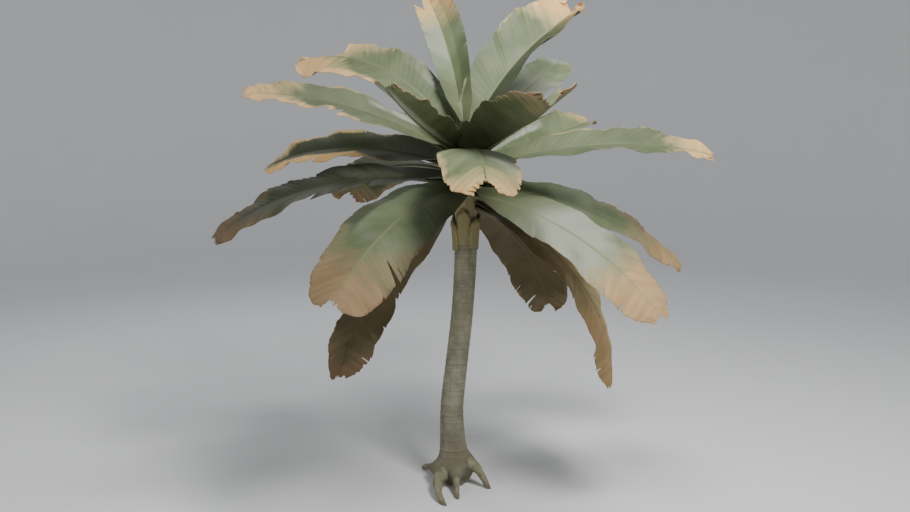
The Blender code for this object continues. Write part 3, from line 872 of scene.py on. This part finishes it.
def blade_finish(name, frond, leafy, leafy_pale, rib_colour, brightness):
    """Green along the veins, drying to tan from the tip and margin, with a pale midrib."""
    leaf = Finish(name, 0.5)
    on_leaf = leaf.node("ShaderNodeUVMap", {"uv_map": "UVMap"}, {})
    along = leaf.axis(on_leaf, 0)
    across = leaf.axis(on_leaf, 1) * 2.0 - 1.0
    edge = abs(across)
    spot = leaf.places()
    patch = leaf.grain(spot, PATCH_SCALE)
    blotch = leaf.grain(spot, BLOTCH_SCALE)
    vein = leaf.grain(leaf.stretched(on_leaf, VEIN_SCALE), 1.0, 2.0)
    band = leaf.grain(leaf.stretched(on_leaf, BAND_SCALE), 1.0, 2.0)
    wander = (patch - 0.5) * 0.55 + (band - 0.5) * 0.3 + (blotch - 0.5) * 0.07

    # Where it is dry: towards the tip, and along a margin that widens with it.
    towards_tip = along + wander * 0.6 + edge * 0.18 - 0.06
    dry_tip = towards_tip.ease(frond.dry_from, frond.dry_from + 0.24)
    dry_side, dry_gain = DRY_SIDE.get(frond.name, (1, 0.0))
    worst = (across * float(dry_side)).ease(0.0, 0.2) * along.ease(0.3, 0.5) * dry_gain
    worn_edge = edge + worst + wander * 0.85 + along * 0.3 - 0.17
    dry_margin = worn_edge.ease(1.0 - frond.margin, 1.2 - frond.margin)
    dry = dry_tip.most(dry_margin)

    # The green, its bloom of wax with a painted sheen, and a strip of painted light.
    green = leaf.mixed(patch.ease(0.3, 0.7) * 0.8 + band.ease(0.3, 0.7) * 0.2, leafy, leafy_pale)
    wax_and_sheen = leaf.grain(spot, WAX_SCALE, 2.0).ease(0.6 - 0.3 * frond.bloom, 0.82 - 0.3 * frond.bloom)
    grey = sum(leafy_pale) / 3.0
    wax_sheen_colour = tuple(0.6 * part + 0.88 * grey for part in leafy_pale)
    if frond.name in SHEEN_HALF:
        wax_and_sheen = wax_and_sheen * (across * float(SHEEN_HALF[frond.name])).ease(-0.04, 0.06)
    green = leaf.mixed(wax_and_sheen * along.ease(0.2, 0.42) * frond.bloom, green, wax_sheen_colour)
    # Painted light: a pale strip that brightens a shaded part of the blade.
    if frond.name in LIT_STRIP:
        side, off_rib, end, amount, tone = LIT_STRIP[frond.name]
        strip = (across * float(side)).ease(off_rib, off_rib + 0.2)
        strip = strip * (1.0 - (along + wander).ease(end - 0.05, end + 0.2))
        green = leaf.mixed(strip * amount, green, toned(tone, STRIP_LIGHT))

    # The straw, olive where it is still drying and burnt along the rim; its brightness carries the frond's
    # painted light and shade.
    straw_grain = band.ease(0.3, 0.7) * 0.4 + patch * 0.3 + blotch * 0.3
    straw_ends = sunned(brightness, STRAW_DARK), sunned(brightness, STRAW_PALE)
    colour = leaf.mixed(dry, green, leaf.mixed(straw_grain, *straw_ends))
    colour = leaf.mixed(dry * (1.0 - dry) * 1.8, colour, toned(brightness, DRYING_EDGE))
    burnt = dry * edge.ease(0.93, 1.0) * blotch.ease(0.4, 0.6)
    colour = leaf.mixed(burnt * 0.6, colour, toned(brightness, BURNT_EDGE))
    colour = leaf.dimmed(vein.ease(0.45, 0.75) * 0.22, colour, VEIN_DIM)
    midrib = 1.0 - edge.ease(0.02, 0.06)
    colour = leaf.mixed(midrib * (1.0 - dry * 0.6), colour, rib_colour)

    # Painted shade at the foot, and a painted shadow over part of one half.
    depth, reach, slant = FOOT_SHADOW.get(frond.name, USUAL_FOOT_SHADOW)
    foot = 1.0 - (along - across * slant + patch * 0.06).ease(reach - 0.16, reach)
    colour = leaf.mixed(foot * depth, colour, FOOT_SHADE)
    if frond.name in SHADOW_PATCH:
        side, off_rib, begin, end, depth = SHADOW_PATCH[frond.name]
        half = (across * float(side)).ease(off_rib, off_rib + 0.14)
        past_end = (along + wander * 0.4).ease(end, end + 0.12)
        stretch = along.ease(begin, begin + 0.12) * (1.0 - past_end)
        colour = leaf.dimmed(half * stretch * depth, colour, SHADOW_DIM)
    leaf.shader.inputs["Specular IOR Level"].default_value = 0.35
    roughness = 0.5 + dry * 0.28 + vein * 0.1
    return leaf.finished(colour, vein * 0.7 + blotch * 0.3, VEIN_BUMP, roughness)


def rib_line(frond, count=60):
    """Places along the rib with its slope there, worked out by stepping along its bend."""
    out = compass(frond.turn)
    foot = Vector((lean(frond.height), 0.0, frond.height))
    foot += out * max(trunk_radius(frond.height) - SUNK, 0.0)
    bend = frond.fall - frond.rise
    slopes = [math.radians(frond.rise + bend * (i / count) ** BEND_POWER) for i in range(count + 1)]
    places, step = [foot], frond.length / count
    for index in range(count):
        slope = (slopes[index] + slopes[index + 1]) / 2.0
        climb = Vector((0, 0, math.sin(slope) * step))
        places.append(places[-1] + out * (math.cos(slope) * step) + climb)
    return places, slopes


def rib_frame(frond, rib, share):
    """The rib's place, its direction, the way to its left and the way up off the blade."""
    places, slopes = rib
    at = share * (len(places) - 1)
    index = min(int(at), len(places) - 2)
    part = at - index
    place = places[index].lerp(places[index + 1], part)
    slope = slopes[index] * (1.0 - part) + slopes[index + 1] * part
    out = compass(frond.turn)
    ahead = out * math.cos(slope) + Vector((0, 0, math.sin(slope)))
    side = Vector((-out.y, out.x, 0.0))
    up = ahead.cross(side)
    roll = math.radians(frond.roll) * ramp(share, 0.0, ROLLED_BY)
    rolled_side = side * math.cos(roll) + up * math.sin(roll)
    rolled_up = up * math.cos(roll) - side * math.sin(roll)
    return place, ahead, rolled_side, rolled_up


def tears_of(frond, chance):
    """Every wind tear, each along a side vein: its row, side, depth and gap at the margin."""
    large = LARGE_TEARS.get(frond.name, ())
    tears = [(round(share * PLEATS), side, depth, gap) for share, side, depth, gap in large]
    for _ in range(SMALL_TEARS):
        pleat, side = chance.randint(12, 34), chance.choice((-1, 1))
        tears.append((pleat, side, chance.uniform(0.06, 0.2), SMALL_TEAR_GAP))
    return tears


def blade_fold(frond, number, share, on_left):
    """How far a half lifts off flat: it clasps the stem, then opens and sways."""
    fold = math.radians(frond.fold_foot + (frond.fold_tip - frond.fold_foot) * share)
    fold += math.radians(CLASP_FOLD_DEG) * max(0.0, 1.0 - share / CLASP_END)
    sway = noise.noise(Vector((share * 3.2, 5.0 * on_left, number * 7.3)))
    return fold + math.radians(SWAY_DEG) * sway * ramp(share, OPEN_FROM, OPENING)


def kept_by_wear(frond, share, across):
    """The share of the half's width that is left where its margin has worn away."""
    left = 1.0
    for side, begin, end, kept in WORN.get(frond.name, ()):
        if across * side > 0 and share > begin:
            to_end = min(1.0, max(0.0, (end - share) / 0.04 + (end >= 1.0)))
            left *= 1.0 - (1.0 - kept) * min(1.0, (share - begin) / 0.02) * to_end
    return left


def grow_blade(frond, number):
    """The blade: a grid whose rows are the side veins, torn, worn, toothed and waved."""
    chance = random.Random(BLADE_SEED + number)
    tears = tears_of(frond, chance)
    rib = rib_line(frond)
    rows = PLEATS * STEPS_PER_PLEAT
    frames = [rib_frame(frond, rib, row / rows) for row in range(rows + 1)]
    teeth = [[chance.uniform(0.0, 1.0) ** 2 for _ in range(PLEATS + 1)] for _ in (0, 1)]
    ragged = [chance.uniform(-0.5, 0.5) for _ in range(2 * HALF_COLUMNS + 1)]
    phases = (chance.uniform(0, PHASE_END), chance.uniform(0, PHASE_END))
    sag = SAG_DEPTH * max(0.0, 1.0 - frond.fold_foot / FLAT_FOLD_DEG)
    bpy.ops.object.select_all(action="DESELECT")
    bpy.ops.mesh.primitive_grid_add(
        x_subdivisions=rows, y_subdivisions=2 * HALF_COLUMNS, size=2.0
    )
    blade = bpy.context.object
    blade.name = blade.data.name = frond.name + "_blade"
    mesh = blade.data
    for polygon in mesh.polygons:
        row = int((polygon.center.x + 1.0) / 2.0 * rows)
        across = polygon.center.y
        polygon.select = any(
            row == pleat * STEPS_PER_PLEAT and across * side > 1.0 - depth
            for pleat, side, depth, _ in tears
        )
    for vertex in mesh.vertices:
        row = round((vertex.co.x + 1.0) / 2.0 * rows)
        column = round((vertex.co.y + 1.0) * HALF_COLUMNS)
        share, across = row / rows, vertex.co.y
        off_rib = abs(across)
        on_left = across > 0
        place, ahead, side, up = frames[row]
        pleat, part = divmod(row, STEPS_PER_PLEAT)
        opened = ramp(share, OPEN_FROM, OPENING)

        # How wide the half is there, and which way it lies.
        patchy = 0.35 + max(0.0, noise.noise(Vector((share * 5.0, 9.0 * on_left, number * 3.1)))) * 2.0
        tooth = patchy * teeth[on_left][pleat] * (1.0 - part / STEPS_PER_PLEAT)
        reach = frond.width / 2.0 * smooth_table(BLADE_OUTLINE, share)
        reach *= (1.0 - opened * TOOTH_DEPTH * tooth) * kept_by_wear(frond, share, across)
        fold = blade_fold(frond, number, share, on_left)
        slant = math.radians(VEIN_ANGLE) * ramp(share, 0.1, 0.25)
        slant *= 1.0 + (frond.notch - 1.0) * ramp(share, 0.7, 0.3)
        length = off_rib * reach / max(math.cos(slant), 0.1)
        outward = side * math.copysign(math.cos(fold), across) + up * math.sin(fold)
        spot = place + outward * (math.cos(slant) * length) + ahead * (math.sin(slant) * length)

        # Its pleats, waves, sag and curled tip.
        swing = 1.0 - 2.0 * abs(2.0 * part / STEPS_PER_PLEAT - 1.0)
        lift = PLEAT_DEPTH * swing * opened * min(1.0, off_rib * 5.0)
        wave = math.sin(share * 21.0 + phases[on_left])
        wave += 0.5 * math.sin(share * 47.0 + 2 * phases[on_left])
        lift += WAVE_DEPTH * wave * opened * off_rib ** 1.6
        lift += sag * opened * (off_rib * (1.0 - off_rib) * 2.0 - across * across * 0.5)
        lift += frond.curl * ramp(share, 0.82, 0.18) ** 1.6 * (0.6 + 0.8 * off_rib)
        forward = TIP_RAGGED * ragged[column] * ramp(share, 0.95, 0.05)

        # Each side of a tear is pushed its own way.
        for torn, torn_side, depth, gap in tears:
            past = (across * torn_side - (1.0 - depth)) / depth
            distance = row - torn * STEPS_PER_PLEAT
            near = 1.0 - abs(distance - 0.5) / (TEAR_PLEATS * STEPS_PER_PLEAT)
            if past > 0 and near > 0:
                way = 1.0 if distance > 0 else -1.0
                forward += way * gap * TEAR_PULL * past * near
                lift += way * (TEAR_LIFT * gap + TEAR_LEAST_LIFT) * past * near
        vertex.co = spot + ahead * forward + up * lift
    bpy.context.tool_settings.mesh_select_mode = (False, False, True)
    bpy.ops.object.mode_set(mode="EDIT")
    bpy.ops.mesh.delete(type="FACE")
    bpy.ops.object.mode_set(mode="OBJECT")
    return blade, rib


def grow_frond(frond, number):
    """A blade with two faces of its own, joined to the midrib that carries it."""
    blade, rib = grow_blade(frond, number)
    dried = "hanging" in frond.name
    top_tones, under_tones = blade_tones(frond, dried)
    upper = blade_finish(frond.name + "_upper", frond, *top_tones)
    # The underside's finish is a darker copy of the upper one, as painted shade.
    under_shaded = blade_finish(frond.name + "_under", frond, *under_tones)
    blade.data.materials.append(upper)
    blade.data.materials.append(under_shaded)
    wall = blade.modifiers.new("wall", "SOLIDIFY")
    wall.thickness = BLADE_WALL
    wall.offset = 0.0
    wall.material_offset = 1
    bpy.ops.object.modifier_apply(modifier="wall")
    bpy.ops.object.shade_smooth_by_angle(angle=math.radians(BLADE_EDGE_DEG))

    def rib_place(share, angle):
        place, _, side, up = rib_frame(frond, rib, share)
        ends = closed_ends(share, RIB_CAP_SHARE)
        width = smooth_table(RIB_HALF_WIDTH, share) * ends
        depth = smooth_table(RIB_HALF_DEPTH, share) * ends
        channel = RIB_CHANNEL * depth * max(0.0, math.sin(angle)) ** 3 * max(0.0, 1.0 - share / 0.5)
        rise = math.sin(angle) * depth - RIB_DROP * depth - channel
        return place + side * (math.cos(angle) * width) + up * rise, 0.0

    midrib = rolled_sheet(frond.name + "_rib", RIB_ROWS, RIB_SIDES, rib_place)
    for loop in midrib.data.uv_layers["UVMap"].data:
        loop.uv.y = 0.5
    midrib.data.materials.append(upper)
    blade.select_set(True)
    bpy.context.view_layer.objects.active = blade
    bpy.ops.object.join()
    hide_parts(frond.name)
    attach(blade, "root")


for number, frond in enumerate(FRONDS):
    grow_frond(frond, number)
